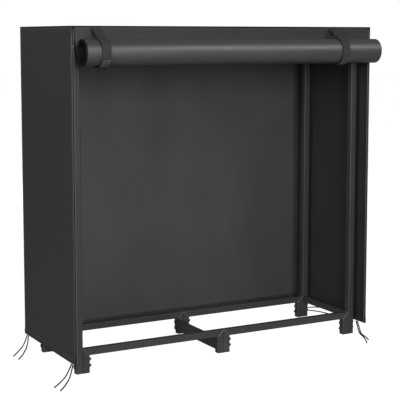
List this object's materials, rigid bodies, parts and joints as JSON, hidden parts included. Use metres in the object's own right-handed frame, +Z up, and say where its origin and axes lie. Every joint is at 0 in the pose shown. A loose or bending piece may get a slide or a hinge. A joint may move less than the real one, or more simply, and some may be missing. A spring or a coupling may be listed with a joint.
{
  "type": "firewood log rack",
  "caption": "Wide low-footed steel rack for stacked firewood, under a fitted fabric cover whose front door rolls up under straps.",
  "frame": {"origin": "centre of the footprint on the floor, with the rolled door counted and the drawcord tails not counted", "axes": "+X along the rack's width, to the right seen from the front; +Y from the open front to the back; +Z up"},
  "size_m": [1.4394, 0.6022, 1.2002],
  "materials": {
    "steel": "black powder coat, fine satin texture",
    "bolts": "dark zinc plated bolts and nuts",
    "feet": "black moulded plastic",
    "cover_cloth": "black coated plain-weave cloth, slight sheen",
    "webbing": "black ribbed webbing with hook and loop",
    "zip_tape": "black woven zip tape with coil teeth",
    "zip_metal": "black enamelled slider",
    "drawcord": "black braided cord"
  },
  "bodies": {
    "frame": {"post_front_left": "steel", "post_front_right": "steel", "post_rear_left": "steel", "post_rear_right": "steel", "bottom_crossbar_left": "steel", "top_crossbar_left": "steel", "bottom_crossbar_right": "steel", "top_crossbar_right": "steel", "top_rail_front": "steel", "top_rail_rear": "steel", "base_frame_front_left": "steel", "base_frame_front_right": "steel", "base_frame_rear_left": "steel", "base_frame_rear_right": "steel", "centre_plate": "steel", "foot_front_left": "feet", "foot_front_middle": "feet", "foot_front_right": "feet", "foot_rear_left": "feet", "foot_rear_middle": "feet", "foot_rear_right": "feet", "bolt_front_left_upper": "bolts", "bolt_front_left_lower": "bolts", "bolt_front_middle_upper": "bolts", "bolt_front_middle_lower": "bolts", "bolt_front_right_upper": "bolts", "bolt_front_right_lower": "bolts", "bolt_rear_left_upper": "bolts", "bolt_rear_left_lower": "bolts", "bolt_rear_middle_upper": "bolts", "bolt_rear_middle_lower": "bolts", "bolt_rear_right_upper": "bolts", "bolt_rear_right_lower": "bolts"},
    "cover": {"cover_top": "cover_cloth", "cover_left": "cover_cloth", "cover_right": "cover_cloth", "cover_back": "cover_cloth", "zip_tape_left": "zip_tape", "zip_tape_right": "zip_tape", "drawcord_front_left_a": "drawcord", "drawcord_front_left_b": "drawcord", "drawcord_front_right_a": "drawcord", "drawcord_front_right_b": "drawcord", "drawcord_rear_left_a": "drawcord", "drawcord_rear_left_b": "drawcord", "drawcord_rear_right_a": "drawcord", "drawcord_rear_right_b": "drawcord"},
    "door_sheet": {"door_sheet": "cover_cloth"},
    "door_roll": {"door_roll": "cover_cloth"},
    "strap_left_outer": {"strap_left_outer": "webbing"},
    "strap_right_outer": {"strap_right_outer": "webbing"},
    "strap_left_inner": {"strap_left_inner": "webbing"},
    "strap_right_inner": {"strap_right_inner": "webbing"},
    "zip_slider_left": {"zip_slider_left": "zip_metal"},
    "zip_slider_right": {"zip_slider_right": "zip_metal"}
  },
  "joints": [
    {"name": "cover_lift", "type": "slide", "parent": "frame", "child": "cover", "axis": [0, 0, 1], "range_m": [0, 1.2]},
    {"name": "door_drop", "type": "slide", "parent": "cover", "child": "door_sheet", "axis": [0, 0, -1], "range_m": [0, 1.018], "deforming": ["door_sheet", "strap_left_outer", "strap_right_outer", "strap_left_inner", "strap_right_inner"]},
    {"name": "door_roll_turn", "type": "hinge", "parent": "door_sheet", "child": "door_roll", "pos_m": [0, -0.2477, 1.112], "axis": [1, 0, 0], "range_deg": [0, 1441]},
    {"name": "strap_left_outer_swing", "type": "hinge", "parent": "cover", "child": "strap_left_outer", "pos_m": [-0.527, -0.1975, 1.192], "axis": [-1, 0, 0], "range_deg": [0, 150]},
    {"name": "strap_left_inner_swing", "type": "hinge", "parent": "cover", "child": "strap_left_inner", "pos_m": [-0.527, -0.1949, 1.192], "axis": [1, 0, 0], "range_deg": [0, 40]},
    {"name": "strap_right_outer_swing", "type": "hinge", "parent": "cover", "child": "strap_right_outer", "pos_m": [0.435, -0.1975, 1.192], "axis": [-1, 0, 0], "range_deg": [0, 150]},
    {"name": "strap_right_inner_swing", "type": "hinge", "parent": "cover", "child": "strap_right_inner", "pos_m": [0.435, -0.1949, 1.192], "axis": [1, 0, 0], "range_deg": [0, 40]},
    {"name": "zip_left_slide", "type": "slide", "parent": "cover", "child": "zip_slider_left", "axis": [0, 0, -1], "range_m": [0, 1.04]},
    {"name": "zip_right_slide", "type": "slide", "parent": "cover", "child": "zip_slider_right", "axis": [0, 0, -1], "range_m": [0, 1.04]}
  ],
  "couplings": [
    {"joint": "door_roll_turn", "follows": "door_drop", "rad_per_m": 24.688}
  ]
}
